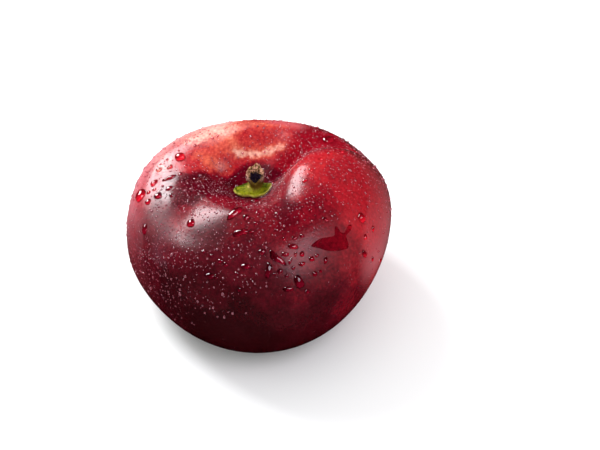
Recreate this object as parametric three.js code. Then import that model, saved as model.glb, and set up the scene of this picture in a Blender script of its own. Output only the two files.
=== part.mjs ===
// A flat nectarine, as picked: the fruit in one solid, and the stub of its stalk in the hollow on top.
// Millimetres and degrees, +Z up. Azimuth 0 is +X and azimuth 90 is +Y.
// The fruit rests on a flat ring at z = 0, and the origin is under the middle of its box.
import * as THREE from "three";

// ---- Driving dimensions of the fruit ----
const SIDE_RADIUS = 36.6; // mean radius at the widest level
const OVAL = { swell: 0.5, toward: 140 }; // plan a little wider along this direction
const TRIANGLE = { swell: 1.5, toward: 35 }; // plan a little three-sided, one corner this way
const EQUATOR = { height: 20.5, rise: 5.5 }; // widest level, higher on the +X side by rise
const REST_RING = { inner: 7, outer: 12.5 }; // flat ring that the fruit rests on
const DIMPLE_DEPTH = 2.4; // blossom-end dimple inside the ring
const FLOOR = { x: -1.6, y: 0.7, z: 35 }; // middle of the stem hollow's floor
const UNDER_FULLNESS = 0.64; // 0 is a cone under the belly, 1 is a square edge
const BELLY_FULLNESS = 0.56;
const FLOOR_FLATNESS = 0.5; // share of the crest radius that the hollow's floor stays flat for

// The crest round the stem hollow, by direction. shoulder is how full the outer side is,
// and plateau is how far the top runs inward before it drops.
const CREST = [
  { azimuth: 0, radius: 17, height: 47.5, shoulder: 0.44, plateau: 0.58 },
  { azimuth: 35, radius: 19, height: 44, shoulder: 0.33, plateau: 0.32 },
  { azimuth: 90, radius: 20, height: 42.2, shoulder: 0.32, plateau: 0.22 },
  { azimuth: 135, radius: 21.7, height: 40.2, shoulder: 0.68, plateau: 0.6 },
  { azimuth: 180, radius: 18.2, height: 39.6, shoulder: 0.65, plateau: 0.53 },
  { azimuth: 225, radius: 15.8, height: 41.5, shoulder: 0.73, plateau: 0.43 },
  { azimuth: 265, radius: 16.8, height: 43.1, shoulder: 0.22, plateau: 0.2 },
  { azimuth: 300, radius: 18.2, height: 43, shoulder: 0.38, plateau: 0.45 },
  { azimuth: 335, radius: 17.5, height: 44.3, shoulder: 0.52, plateau: 0.8 },
];
const CREST_FOCUS = 10; // how narrowly each direction's values hold

// A meridian is five arcs, and a place on it runs from 0, the blossom end, to 5, the hollow's floor.
const ARCS = { dimple: 0, ring: 1, under: 2, shoulder: 3, wall: 4 };
const ARC_STEPS = [4, 2, 12, 16, 14];
const AROUND = 88;

// Valleys pressed into the skin, and one ridge raised from it. line gives the azimuth by place,
// depth the millimetres by place, and sharp how much narrower the side below the line's azimuth is.
// blunt rounds the bottom of the fold: 1 is a soft valley, and towards 0 it becomes a crease.
const FOLDS = [
  {
    name: "suture",
    line: [[2, 26], [3, 27], [4, 37], [5, 41]],
    width: 26,
    sharp: 0.6,
    blunt: 0.25,
    depth: [[2.1, 0], [3, 0.5], [3.5, 1.5], [3.8, 3], [4.05, 4.2], [4.45, 3.6], [5, 0]],
  },
  {
    name: "fold opposite the suture",
    line: [[3, 181], [5, 132]],
    width: 27,
    sharp: 1,
    blunt: 1,
    depth: [[3.4, 0], [3.75, 2.8], [4, 3.7], [4.45, 4.2], [5, 0]],
  },
  {
    name: "valley down the shoulder",
    line: [[2, 211], [5, 187]],
    width: 21,
    sharp: 1,
    blunt: 1,
    depth: [[2.1, 0], [2.6, 0.15], [3, 0.15], [3.5, 1.2], [3.8, 2.4], [4.2, -0.8], [5, 0]],
  },
  {
    name: "ridge beside the valley",
    line: [[2, 227], [5, 241]],
    width: 17.5,
    sharp: 1,
    blunt: 1,
    depth: [[2.9, 0], [3.4, -2.1], [3.7, -0.4], [4, -0.6], [4.4, 0]],
  },
];
const FOLD_FALL = 1.3; // leaves a crease a third of its depth, and a soft valley half, one width away
const CREST_LEAN = 0.8; // share of the floor's offset that the crest already has

// ---- Driving dimensions of the stem ----
const STEM_GAP = 0.35; // clearance between the stem and the fruit
const LIP = { end: 5.3, side: 3.2, thick: 1, curl: 0.2 }; // the collar, which ends in two lobes
const LOBES = { toward: [348, 203], width: 42 };
const NOTCH = { depth: 0.6, toward: 252, width: 16 }; // gap between the collar's lobes
const STUB = { x: 0.85, y: 1, neck: 2.1, tip: 2.35, rim: 5.4 }; // axis, radii and rim height
const HOLLOW = { radius: 1.6, depth: 1.5 }; // the stub's dried end is a small cup
const BREAK = { slope: 1.45, rough: 0.3, teeth: 5 }; // the rim is lowest towards -Y, and uneven
const STEM_STEPS = 40;
const STEM_AROUND = 36;

// ---- Helpers ----
const cosine = (degrees) => Math.cos(THREE.MathUtils.degToRad(degrees));
const sine = (degrees) => Math.sin(THREE.MathUtils.degToRad(degrees));
const turnBetween = (from, to) => THREE.MathUtils.euclideanModulo(to - from + 180, 360) - 180;

// A crest value at an azimuth: a weighted mean of the rows, each strongest in its own direction.
function crestValue(key, azimuth) {
  let sum = 0;
  let weights = 0;
  for (const row of CREST) {
    const weight = Math.exp(CREST_FOCUS * (cosine(azimuth - row.azimuth) - 1));
    sum += weight * row[key];
    weights += weight;
  }
  return sum / weights;
}

// A smooth line through [place, value] knots that never overshoots them and is level at both ends.
function along(knots, place) {
  const last = knots.length - 1;
  const x = THREE.MathUtils.clamp(place, knots[0][0], knots[last][0]);
  let i = 0;
  while (i < last - 1 && x >= knots[i + 1][0]) i += 1;
  const rise = (k) => (knots[k + 1][1] - knots[k][1]) / (knots[k + 1][0] - knots[k][0]);
  const slope = (k) => {
    if (k === 0 || k === last) return 0;
    const before = rise(k - 1);
    const after = rise(k);
    return before * after <= 0 ? 0 : (2 * before * after) / (before + after);
  };
  const span = knots[i + 1][0] - knots[i][0];
  const t = (x - knots[i][0]) / span;
  return (
    knots[i][1] * (1 + 2 * t) * (1 - t) ** 2 +
    slope(i) * span * t * (1 - t) ** 2 +
    knots[i + 1][1] * t * t * (3 - 2 * t) +
    slope(i + 1) * span * t * t * (t - 1)
  );
}

// How deep the folds press the skin in at a place, in mm.
function foldDepth(azimuth, place) {
  let depth = 0;
  for (const fold of FOLDS) {
    const off = turnBetween(along(fold.line, place), azimuth);
    const width = off < 0 ? fold.width * fold.sharp : fold.width;
    const reach = Math.hypot((FOLD_FALL * off) / width, fold.blunt) - fold.blunt;
    depth += along(fold.depth, place) * Math.exp(-reach);
  }
  return depth;
}

// The meridian at an azimuth before the folds: five Bezier arcs of (radius, height).
function meridian(azimuth) {
  const side =
    SIDE_RADIUS +
    OVAL.swell * cosine(2 * (azimuth - OVAL.toward)) +
    TRIANGLE.swell * cosine(3 * (azimuth - TRIANGLE.toward));
  const level = EQUATOR.height + EQUATOR.rise * cosine(azimuth);
  const crest = crestValue("radius", azimuth);
  const top = crestValue("height", azimuth);
  const shoulder = crest + crestValue("shoulder", azimuth) * (side - crest);
  const plateau = crest * (1 - crestValue("plateau", azimuth));
  const { inner, outer } = REST_RING;
  const under = outer + UNDER_FULLNESS * (side - outer);
  const arc = (...points) =>
    new THREE.CubicBezierCurve(...points.map(([radius, height]) => new THREE.Vector2(radius, height)));
  return [
    arc([0, DIMPLE_DEPTH], [inner * 0.5, DIMPLE_DEPTH], [inner * 0.6, 0], [inner, 0]),
    arc([inner, 0], [(2 * inner + outer) / 3, 0], [(inner + 2 * outer) / 3, 0], [outer, 0]),
    arc([outer, 0], [under, 0], [side, level * (1 - BELLY_FULLNESS)], [side, level]),
    arc([side, level], [side, level + BELLY_FULLNESS * (top - level)], [shoulder, top], [crest, top]),
    arc([crest, top], [plateau, top], [crest * FLOOR_FLATNESS, FLOOR.z], [0, FLOOR.z]),
  ];
}

// (radius, height) on the skin at an azimuth and place, folds included.
function skinProfile(arcs, azimuth, place) {
  const index = Math.min(Math.floor(place), ARCS.wall);
  const t = place - index;
  const point = arcs[index].getPoint(t);
  const along2d = arcs[index].getTangent(t);
  const depth = foldDepth(azimuth, place);
  return new THREE.Vector2(point.x - depth * along2d.y, point.y + depth * along2d.x);
}

// How much of the floor's offset from the fruit's axis holds at a place.
function leanAt(place) {
  if (place <= ARCS.shoulder) return 0;
  if (place <= ARCS.wall) return CREST_LEAN * THREE.MathUtils.smoothstep(place, ARCS.shoulder, ARCS.wall);
  return CREST_LEAN + (1 - CREST_LEAN) * THREE.MathUtils.smoothstep(place, ARCS.wall, ARCS.wall + 1);
}

// A closed skin with the topology of a lathed profile, each vertex moved to locate(azimuth, share).
// Vertices on the axis are given once for all azimuths by locate itself.
function latheBy(locate, steps, around) {
  const profile = Array.from({ length: steps + 1 }, (_, i) =>
    new THREE.Vector2(Math.sin((Math.PI * i) / steps), i / steps));
  const geometry = new THREE.LatheGeometry(profile, around);
  const position = geometry.getAttribute("position");
  for (let column = 0; column <= around; column += 1) {
    const azimuth = (360 * (column % around)) / around;
    for (let row = 0; row <= steps; row += 1) {
      const point = locate(azimuth, row);
      position.setXYZ(column * (steps + 1) + row, point.x, point.y, point.z);
    }
  }
  geometry.deleteAttribute("normal");
  geometry.computeVertexNormals();
  return geometry;
}

function fruitGeometry() {
  const places = [0];
  ARC_STEPS.forEach((count, arc) => {
    for (let i = 1; i <= count; i += 1) places.push(arc + i / count);
  });
  const locate = (azimuth, row) => {
    const place = places[row];
    const { x: radius, y: height } = skinProfile(meridian(azimuth), azimuth, place);
    const lean = leanAt(place);
    const reach = row === 0 || row === places.length - 1 ? 0 : radius;
    return new THREE.Vector3(
      reach * cosine(azimuth) + lean * FLOOR.x,
      reach * sine(azimuth) + lean * FLOOR.y,
      height,
    );
  };
  return latheBy(locate, places.length - 1, AROUND);
}

// Height of the hollow's surface at a distance from the stem's axis, found by halving.
function seatHeight(azimuth, distance) {
  const arcs = meridian(azimuth);
  let outside = ARCS.wall;
  let inside = ARCS.wall + 1;
  for (let i = 0; i < 24; i += 1) {
    const middle = (outside + inside) / 2;
    if (skinProfile(arcs, azimuth, middle).x > distance) outside = middle;
    else inside = middle;
  }
  return skinProfile(arcs, azimuth, inside).y;
}

// How far the collar reaches from its middle at an azimuth, and how much it curls up there.
function collarAt(azimuth) {
  const lobe = LOBES.toward.reduce(
    (sum, toward) => sum + Math.exp(-((turnBetween(toward, azimuth) / LOBES.width) ** 2)),
    0,
  );
  const notch = NOTCH.depth * Math.exp(-((turnBetween(NOTCH.toward, azimuth) / NOTCH.width) ** 2));
  return { lip: LIP.side + (LIP.end - LIP.side) * lobe - notch, curl: LIP.curl * lobe };
}

// The stem's outline as (radius, height over the seat): underside, lip, dish, neck, rim, hollow.
function stemOutline(azimuth) {
  const { lip, curl } = collarAt(azimuth);
  const { neck, tip } = STUB;
  const rim = STUB.rim + BREAK.slope * sine(azimuth) + BREAK.rough * sine(BREAK.teeth * azimuth + 40);
  return new THREE.SplineCurve([
    new THREE.Vector2(0, 0),
    new THREE.Vector2(lip * 0.5, 0),
    new THREE.Vector2(lip * 0.86, 0.1 + curl * 0.4),
    new THREE.Vector2(lip, LIP.thick / 2 + curl),
    new THREE.Vector2(lip * 0.94, LIP.thick + curl),
    new THREE.Vector2(lip * 0.78, LIP.thick + curl * 0.4),
    new THREE.Vector2(neck + 0.4, 1.3),
    new THREE.Vector2(neck, 2),
    new THREE.Vector2(neck, (2 + rim) / 2),
    new THREE.Vector2(tip, rim - 0.5),
    new THREE.Vector2((tip + HOLLOW.radius) / 2, rim),
    new THREE.Vector2(HOLLOW.radius, rim - 0.5),
    new THREE.Vector2(HOLLOW.radius * 0.6, rim - HOLLOW.depth),
    new THREE.Vector2(0, STUB.rim - HOLLOW.depth),
  ]);
}

function stemGeometry() {
  const locate = (azimuth, row) => {
    const point = stemOutline(azimuth).getPoint(row / STEM_STEPS);
    const onAxis = row === 0 || row === STEM_STEPS;
    const radius = onAxis ? 0 : point.x;
    const shift = row === 0 ? 0 : THREE.MathUtils.smoothstep(point.y, 0.9, 2);
    return new THREE.Vector3(
      FLOOR.x + shift * STUB.x + radius * cosine(azimuth),
      FLOOR.y + shift * STUB.y + radius * sine(azimuth),
      seatHeight(azimuth, radius) + STEM_GAP + point.y,
    );
  };
  return latheBy(locate, STEM_STEPS, STEM_AROUND);
}

function namedMesh(name, geometry, color, roughness) {
  const mesh = new THREE.Mesh(
    geometry,
    new THREE.MeshStandardMaterial({ color, roughness, metalness: 0 }),
  );
  mesh.name = name;
  return mesh;
}

const group = new THREE.Group();
group.add(namedMesh("fruit", fruitGeometry(), "#7a1620", 0.35));
group.add(namedMesh("stem", stemGeometry(), "#8a8430", 0.7));

// The origin goes under the middle of the fruit's box.
const middle = new THREE.Box3().setFromObject(group).getCenter(new THREE.Vector3());
group.children.forEach((mesh) => mesh.geometry.translate(-middle.x, -middle.y, 0));

export default group;
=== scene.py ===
"""Looks of a wet flat nectarine: its skin, the stub of its stalk, the water on it, and the stage."""

import math

import bpy
import numpy as np
from bpy.props import FloatProperty, FloatVectorProperty, IntProperty, PointerProperty
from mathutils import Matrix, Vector, noise
from mathutils.bvhtree import BVHTree


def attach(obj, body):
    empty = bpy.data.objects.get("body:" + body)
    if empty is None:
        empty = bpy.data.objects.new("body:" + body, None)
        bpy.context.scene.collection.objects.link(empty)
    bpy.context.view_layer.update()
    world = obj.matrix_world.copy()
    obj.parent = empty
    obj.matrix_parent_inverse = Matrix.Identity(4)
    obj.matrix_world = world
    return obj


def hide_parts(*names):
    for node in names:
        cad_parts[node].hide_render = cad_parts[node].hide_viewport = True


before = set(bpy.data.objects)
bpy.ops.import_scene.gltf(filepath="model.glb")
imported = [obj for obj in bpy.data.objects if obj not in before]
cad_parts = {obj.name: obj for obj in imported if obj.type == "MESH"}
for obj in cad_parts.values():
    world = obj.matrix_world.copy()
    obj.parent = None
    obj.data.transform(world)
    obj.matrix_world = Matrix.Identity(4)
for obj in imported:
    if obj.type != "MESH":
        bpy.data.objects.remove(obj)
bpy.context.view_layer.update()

bl_info = {
    "name": "Flat nectarine",
    "version": (1, 0, 0),
    "blender": (4, 5, 0),
    "location": "View3D > Sidebar > Nectarine",
    "description": "Builds the skin, stalk and water beads of a flat nectarine",
    "category": "Object",
}

MM = 0.001

# ---- The fruit's surface, in mm and degrees, with the same formula and values as the solid ----
SIDE_RADIUS = 36.6
OVAL = dict(swell=0.5, toward=140)
TRIANGLE = dict(swell=1.5, toward=35)
EQUATOR = dict(height=20.5, rise=5.5)
REST_RING = dict(inner=7.0, outer=12.5)
DIMPLE_DEPTH = 2.4
FLOOR = Vector((-1.6, 0.7, 35.0))
UNDER_FULLNESS = 0.64
BELLY_FULLNESS = 0.56
FLOOR_FLATNESS = 0.5
CREST_LEAN = 0.8
CREST_FOCUS = 10
CREST_KEYS = ("azimuth", "radius", "height", "shoulder", "plateau")
CREST = [
    (0, 17.0, 47.5, 0.44, 0.58),
    (35, 19.0, 44.0, 0.33, 0.32),
    (90, 20.0, 42.2, 0.32, 0.22),
    (135, 21.7, 40.2, 0.68, 0.60),
    (180, 18.2, 39.6, 0.65, 0.53),
    (225, 15.8, 41.5, 0.73, 0.43),
    (265, 16.8, 43.1, 0.22, 0.20),
    (300, 18.2, 43.0, 0.38, 0.45),
    (335, 17.5, 44.3, 0.52, 0.80),
]
# line: azimuth by place; depth: mm by place; sharp: width of the side below the line's azimuth;
# blunt: 1 is a round bottom, near 0 is a crease
FOLDS = [
    dict(line=[(2, 26), (3, 27), (4, 37), (5, 41)], width=26, sharp=0.6, blunt=0.25,
         depth=[(2.1, 0), (3, 0.5), (3.5, 1.5), (3.8, 3), (4.05, 4.2), (4.45, 3.6), (5, 0)]),
    dict(line=[(3, 181), (5, 132)], width=27, sharp=1, blunt=1,
         depth=[(3.4, 0), (3.75, 2.8), (4, 3.7), (4.45, 4.2), (5, 0)]),
    dict(line=[(2, 211), (5, 187)], width=21, sharp=1, blunt=1,
         depth=[(2.1, 0), (2.6, 0.15), (3, 0.15), (3.5, 1.2), (3.8, 2.4), (4.2, -0.8), (5, 0)]),
    dict(line=[(2, 227), (5, 241)], width=17.5, sharp=1, blunt=1,
         depth=[(2.9, 0), (3.4, -2.1), (3.7, -0.4), (4, -0.6), (4.4, 0)]),
]
FOLD_FALL = 1.3
ARC_STEPS = (8, 4, 40, 66, 60)
AROUND = 360

# ---- The view's frame ----
PICTURE = (600, 450)
CAMERA = dict(elevation=43.5, distance=392.0, lens=85.0, sensor=36.0, aim=Vector((11.2, 1.3, 22.0)))


def cosd(degrees):
    return np.cos(np.radians(degrees))


def sind(degrees):
    return np.sin(np.radians(degrees))


def smoothstep(low, high, value):
    t = np.clip((value - low) / (high - low), 0, 1)
    return t * t * (3 - 2 * t)


def turn_between(start, end):
    return (end - start + 180) % 360 - 180


def crest(key, azimuth):
    """A crest value at each azimuth: a weighted mean of the rows, strongest in their own direction."""
    rows = np.array(CREST, float)
    weight = np.exp(CREST_FOCUS * (cosd(azimuth[..., None] - rows[:, 0]) - 1))
    return (weight * rows[:, CREST_KEYS.index(key)]).sum(-1) / weight.sum(-1)


def along(knots, place):
    """A smooth line through (place, value) knots, level at both ends and never past them."""
    x = np.array([k[0] for k in knots], float)
    y = np.array([k[1] for k in knots], float)
    rise = np.diff(y) / np.diff(x)
    slope = np.zeros(len(x))
    for i in range(1, len(x) - 1):
        product = rise[i - 1] * rise[i]
        slope[i] = 0 if product <= 0 else 2 * product / (rise[i - 1] + rise[i])
    p = np.clip(place, x[0], x[-1])
    i = np.clip(np.searchsorted(x, p, side="right") - 1, 0, len(x) - 2)
    span = x[i + 1] - x[i]
    t = (p - x[i]) / span
    return (y[i] * (1 + 2 * t) * (1 - t) ** 2 + slope[i] * span * t * (1 - t) ** 2
            + y[i + 1] * t * t * (3 - 2 * t) + slope[i + 1] * span * t * t * (t - 1))


def fold_depth(azimuth, place):
    depth = np.zeros(np.broadcast(azimuth, place).shape)
    for fold in FOLDS:
        off = turn_between(along(fold["line"], place), azimuth)
        width = np.where(off < 0, fold["width"] * fold["sharp"], fold["width"])
        reach = np.sqrt((FOLD_FALL * off / width) ** 2 + fold["blunt"] ** 2) - fold["blunt"]
        depth = depth + along(fold["depth"], place) * np.exp(-reach)
    return depth


def skin_profile(azimuth, place):
    """Radius and height on the skin, and how much of the floor's offset holds there."""
    azimuth, place = np.broadcast_arrays(np.asarray(azimuth, float), np.asarray(place, float))
    side = (SIDE_RADIUS + OVAL["swell"] * cosd(2 * (azimuth - OVAL["toward"]))
            + TRIANGLE["swell"] * cosd(3 * (azimuth - TRIANGLE["toward"])))
    level = EQUATOR["height"] + EQUATOR["rise"] * cosd(azimuth)
    rim = crest("radius", azimuth)
    top = crest("height", azimuth)
    shoulder = rim + crest("shoulder", azimuth) * (side - rim)
    plateau = rim * (1 - crest("plateau", azimuth))
    inner = np.full(side.shape, REST_RING["inner"])
    outer = np.full(side.shape, REST_RING["outer"])
    under = outer + UNDER_FULLNESS * (side - outer)
    zero = np.zeros(side.shape)
    dimple = zero + DIMPLE_DEPTH
    floor = zero + FLOOR.z
    belly = BELLY_FULLNESS
    arcs = [
        ((zero, dimple), (inner * 0.5, dimple), (inner * 0.6, zero), (inner, zero)),
        ((inner, zero), ((2 * inner + outer) / 3, zero), ((inner + 2 * outer) / 3, zero), (outer, zero)),
        ((outer, zero), (under, zero), (side, level * (1 - belly)), (side, level)),
        ((side, level), (side, level + belly * (top - level)), (shoulder, top), (rim, top)),
        ((rim, top), (plateau, top), (rim * FLOOR_FLATNESS, floor), (zero, floor)),
    ]
    radius, height = np.zeros(side.shape), np.zeros(side.shape)
    slope_r, slope_z = np.zeros(side.shape), np.zeros(side.shape)
    index = np.clip(np.floor(place).astype(int), 0, 4)
    t = place - index
    for i, (p0, p1, p2, p3) in enumerate(arcs):
        here = index == i
        for axis, value, slope in ((0, radius, slope_r), (1, height, slope_z)):
            a, b, c, d = p0[axis][here], p1[axis][here], p2[axis][here], p3[axis][here]
            s = t[here]
            value[here] = a * (1 - s) ** 3 + 3 * b * s * (1 - s) ** 2 + 3 * c * s * s * (1 - s) + d * s ** 3
            slope[here] = 3 * ((b - a) * (1 - s) ** 2 + 2 * (c - b) * s * (1 - s) + (d - c) * s * s)
    length = np.hypot(slope_r, slope_z) + 1e-9
    depth = fold_depth(azimuth, place)
    radius = radius - depth * slope_z / length
    height = height + depth * slope_r / length
    lean = CREST_LEAN * smoothstep(3, 4, place) + (1 - CREST_LEAN) * smoothstep(4, 5, place)
    return radius, height, lean


def skin_points(azimuth, place):
    """Points on the skin in mm, before the origin goes under the middle of the fruit's box."""
    radius, height, lean = skin_profile(azimuth, place)
    return np.stack([radius * cosd(azimuth) + lean * FLOOR.x,
                     radius * sind(azimuth) + lean * FLOOR.y, height], -1)


def skin_grid():
    places = np.concatenate([[0]] + [i + np.arange(1, n + 1) / n for i, n in enumerate(ARC_STEPS)])
    azimuths = np.arange(AROUND) * 360 / AROUND
    return azimuths, places


def box_middle():
    azimuths, places = skin_grid()
    points = skin_points(azimuths[None, :], places[:, None]).reshape(-1, 3)
    middle = (points.min(0) + points.max(0)) / 2
    return Vector((middle[0], middle[1], 0))


MIDDLE = box_middle()


def to_frame(points):
    """Millimetres of the formula to metres of the shared frame."""
    return (np.asarray(points) - np.array(MIDDLE)) * MM


# ---- The camera, as plain numbers, so that drops can be placed by where they are seen ----
def camera_axes():
    tilt = math.radians(CAMERA["elevation"])
    back = Vector((0, -math.cos(tilt), math.sin(tilt)))
    right = Vector((1, 0, 0))
    return back, right, back.cross(right)


def camera_place():
    back = camera_axes()[0]
    return (CAMERA["aim"] - MIDDLE + back * CAMERA["distance"]) * MM


def sight(x, y):
    """The direction from the camera through a place in the 600 by 450 view."""
    back, right, up = camera_axes()
    scale = CAMERA["sensor"] / CAMERA["lens"] / PICTURE[0]
    ray = -back + right * (x - PICTURE[0] / 2) * scale - up * (y - PICTURE[1] / 2) * scale
    return ray.normalized()


# ---- Mesh helpers ----
def link_mesh(name, vertices, faces, materials, smooth=True):
    mesh = bpy.data.meshes.new(name)
    mesh.from_pydata([tuple(v) for v in vertices], [], faces)
    mesh.update()
    if smooth:
        mesh.polygons.foreach_set("use_smooth", [True] * len(mesh.polygons))
    for material in materials:
        mesh.materials.append(material)
    piece = bpy.data.objects.new(name, mesh)
    bpy.context.scene.collection.objects.link(piece)
    return piece


def lathe_faces(rows, columns):
    """Faces of a closed skin: one vertex, then rows of columns, then one vertex."""
    faces = [(0, 1 + (j + 1) % columns, 1 + j) for j in range(columns)]
    for i in range(rows - 1):
        for j in range(columns):
            a = 1 + i * columns + j
            b = 1 + i * columns + (j + 1) % columns
            faces.append((a, b, b + columns, a + columns))
    last = 1 + rows * columns
    start = 1 + (rows - 1) * columns
    faces += [(last, start + j, start + (j + 1) % columns) for j in range(columns)]
    return faces


def set_colours(piece, name, colours):
    attribute = piece.data.color_attributes.new(name, "FLOAT_COLOR", "POINT")
    flat = np.ones((len(piece.data.vertices), 4), np.float32)
    flat[:, :colours.shape[1]] = colours
    attribute.data.foreach_set("color", flat.ravel())


def fractal(points, scale, seed, octaves=3):
    """Seeded smooth noise from about -1 to 1 at each point; scale is its grain in mm."""
    out = np.zeros(len(points))
    offset = Vector((seed * 13.7, seed * 5.1, seed * 9.3))
    for i, p in enumerate(points):
        out[i] = noise.fractal(Vector(p) / scale + offset, 0.6, 2.0, octaves)
    return out


# ---- Pigment: how red, orange and cream the skin is, with painted shade, and painted reflection and shade where it is seen edge on ----
# the low redness under the belly, on the left inner slope of the hollow and near the stalk is partly the
# skin's own dark colour and partly painted shade
# azimuth, place, redness from 0 (nearly black) to 1 (bright red), orange, cream
ZONES = [
    # front, from under the belly to the rim of the hollow
    (272, 2.95, 0.04, 0.0, 0.0), (250, 3.05, 0.04, 0.0, 0.0), (298, 3.05, 0.15, 0.0, 0.0),
    (264, 3.17, 0.06, 0.0, 0.0), (278, 3.12, 0.14, 0.0, 0.0),
    (230, 3.2, 0.10, 0.0, 0.0), (250, 3.3, 0.16, 0.0, 0.0), (275, 3.3, 0.22, 0.0, 0.0),
    (265, 3.6, 0.32, 0.0, 0.0), (245, 3.65, 0.28, 0.0, 0.0), (290, 3.35, 0.34, 0.0, 0.0),
    (295, 3.47, 0.52, 0.0, 0.0), (275, 4.0, 0.42, 0.0, 0.0), (255, 4.5, 0.45, 0.0, 0.0),
    (302, 4.05, 0.28, 0.0, 0.0), (292, 4.35, 0.52, 0.0, 0.0),
    # left
    (214, 3.2, 0.26, 0.0, 0.0), (218, 3.5, 0.34, 0.0, 0.0), (190, 3.3, 0.50, 0.0, 0.0),
    (202, 3.25, 0.35, 0.0, 0.0), (204, 3.42, 0.36, 0.0, 0.0),
    (170, 3.5, 0.75, 0.0, 0.12), (155, 3.65, 0.75, 0.0, 0.42), (149, 3.88, 0.90, 0.0, 0.0),
    (172, 3.85, 0.36, 0.0, 0.0), (225, 3.85, 0.48, 0.0, 0.0), (188, 4.1, 0.22, 0.0, 0.0),
    (165, 4.2, 0.20, 0.0, 0.0), (190, 4.6, 0.22, 0.0, 0.0),
    # slope behind the stalk
    (146, 4.02, 0.90, 0.10, 0.0), (138, 4.2, 0.97, 0.36, 0.0), (132, 4.45, 0.95, 0.35, 0.0),
    (135, 3.85, 0.85, 0.20, 0.22), (120, 3.9, 0.90, 0.40, 0.25), (103, 3.95, 0.92, 0.60, 0.15),
    (120, 4.2, 0.95, 0.50, 0.05), (100, 4.25, 0.90, 0.10, 0.0), (84, 4.2, 0.85, 0.25, 0.0),
    (106, 4.40, 0.95, 0.40, 0.05), (82, 4.45, 0.95, 0.30, 0.0), (64, 4.3, 0.92, 0.25, 0.0),
    (116, 4.45, 1.00, 0.10, 0.0), (100, 4.65, 0.72, 0.0, 0.0), (72, 4.65, 0.72, 0.0, 0.0),
    (143, 4.62, 0.22, 0.0, 0.0), (84, 3.95, 0.90, 0.35, 0.05), (66, 3.95, 0.80, 0.15, 0.0),
    # suture and the lobe on the right
    (45, 4.4, 0.62, 0.0, 0.0), (50, 3.8, 0.55, 0.0, 0.0), (38, 3.5, 0.55, 0.0, 0.0),
    (355, 4.0, 0.90, 0.12, 0.0), (350, 3.8, 0.76, 0.05, 0.0), (320, 4.05, 0.62, 0.0, 0.0),
    (338, 3.6, 0.86, 0.0, 0.0), (332, 3.35, 0.90, 0.0, 0.0), (346, 3.0, 0.92, 0.02, 0.0),
    (15, 3.4, 0.85, 0.0, 0.0), (316, 3.75, 0.44, 0.0, 0.0), (316, 3.3, 0.58, 0.0, 0.0),
    (303, 3.25, 0.36, 0.0, 0.0), (298, 3.55, 0.42, 0.0, 0.0), (312, 2.95, 0.42, 0.0, 0.0),
    # back and underside
    (60, 3.1, 0.80, 0.10, 0.0), (90, 3.2, 0.90, 0.20, 0.05), (120, 3.1, 0.85, 0.15, 0.10),
    (150, 3.0, 0.70, 0.0, 0.0), (20, 2.6, 0.80, 0.05, 0.0), (75, 2.4, 0.70, 0.15, 0.10),
    (150, 2.4, 0.50, 0.05, 0.05), (215, 2.4, 0.25, 0.0, 0.0), (305, 2.4, 0.26, 0.0, 0.0),
    (335, 2.5, 0.55, 0.0, 0.0), (185, 2.6, 0.42, 0.0, 0.0), (285, 2.6, 0.12, 0.0, 0.0),
    (270, 2.4, 0.20, 0.05, 0.0), (0, 0.6, 0.60, 0.40, 0.50), (180, 0.6, 0.50, 0.40, 0.45),
]
# reach of the zones in mm, with the places it changes between: those below are fewer and reach further
ZONE_REACH = dict(above=4.5, below=11.0, border=(2.3, 3.05))
# painted shade: the skin round the stalk is darkened on the far side of the hollow
HOLLOW_PAINTED_SHADE = dict(start=4.53, full=4.67, share=0.62)  # the skin is darker round the stalk, on the far side
# finer strokes over the zones: line of azimuth and place, width in mm, orange, cream
STREAKS = [
    dict(line=[(109, 4.40), (101, 4.47), (92, 4.50), (82, 4.49), (74, 4.46), (61, 4.33)],
         width=1.3, orange=0.6, cream=0.62),
    dict(line=[(135, 3.83), (124, 3.88), (113, 3.91), (106, 3.93)], width=2.2, orange=0.3, cream=0.37),
    dict(line=[(118, 3.95), (112, 4.15), (110, 4.32)], width=1.3, orange=0.5, cream=0.22),
    dict(line=[(142, 4.02), (138, 4.18), (135, 4.38)], width=1.2, orange=0.32, cream=0.06),
    dict(line=[(92, 3.92), (78, 3.90), (64, 3.86)], width=0.8, orange=0.35, cream=0.25),
]
# azimuth, place, reach in azimuth, reach in place, tint, and the band's width, where 0 is none and 1
# reaches to where the skin is seen square on; the pale tints are painted reflection and sheen, the dark ones
# painted shade
PAINTED_EDGE_LIGHT = [
    (68, 3.86, 26, 0.35, (0.66, 0.14, 0.15), 0.46),
    (124, 3.75, 30, 0.50, (0.80, 0.42, 0.38), 0.46),
    (156, 3.55, 30, 0.60, (0.68, 0.27, 0.29), 0.60),
    (172, 3.45, 24, 0.42, (0.62, 0.17, 0.20), 0.56),
    (186, 3.34, 24, 0.36, (0.36, 0.115, 0.135), 0.48),
    (194, 3.16, 22, 0.28, (0.20, 0.024, 0.036), 0.29),
    (202, 3.02, 22, 0.26, (0.11, 0.010, 0.015), 0.34),
    (222, 3.50, 22, 0.27, (0.13, 0.040, 0.060), 0.52),
    (337, 3.18, 32, 0.42, (0.46, 0.11, 0.125), 0.64),
    (352, 3.20, 22, 0.38, (0.28, 0.11, 0.115), 0.44),
    (2, 3.36, 20, 0.36, (0.17, 0.05, 0.053), 0.42),
    (18, 3.46, 18, 0.30, (0.10, 0.015, 0.016), 0.48),
    (38, 3.48, 20, 0.30, (0.11, 0.028, 0.028), 0.42),
]
# azimuth, place, reach in azimuth, reach in place, how much rougher the skin is: below 0 is smoother
SHINE = [
    (182, 4.25, 36, 0.42, -0.14), (205, 4.60, 60, 0.35, -0.10), (308, 3.75, 34, 0.32, -0.10),
    (112, 3.90, 34, 0.22, 0.30), (202, 3.56, 28, 0.32, 0.27), (174, 3.82, 18, 0.20, -0.10),
    (240, 3.74, 22, 0.22, 0.12), (312, 3.45, 34, 0.34, 0.15),
]
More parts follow.
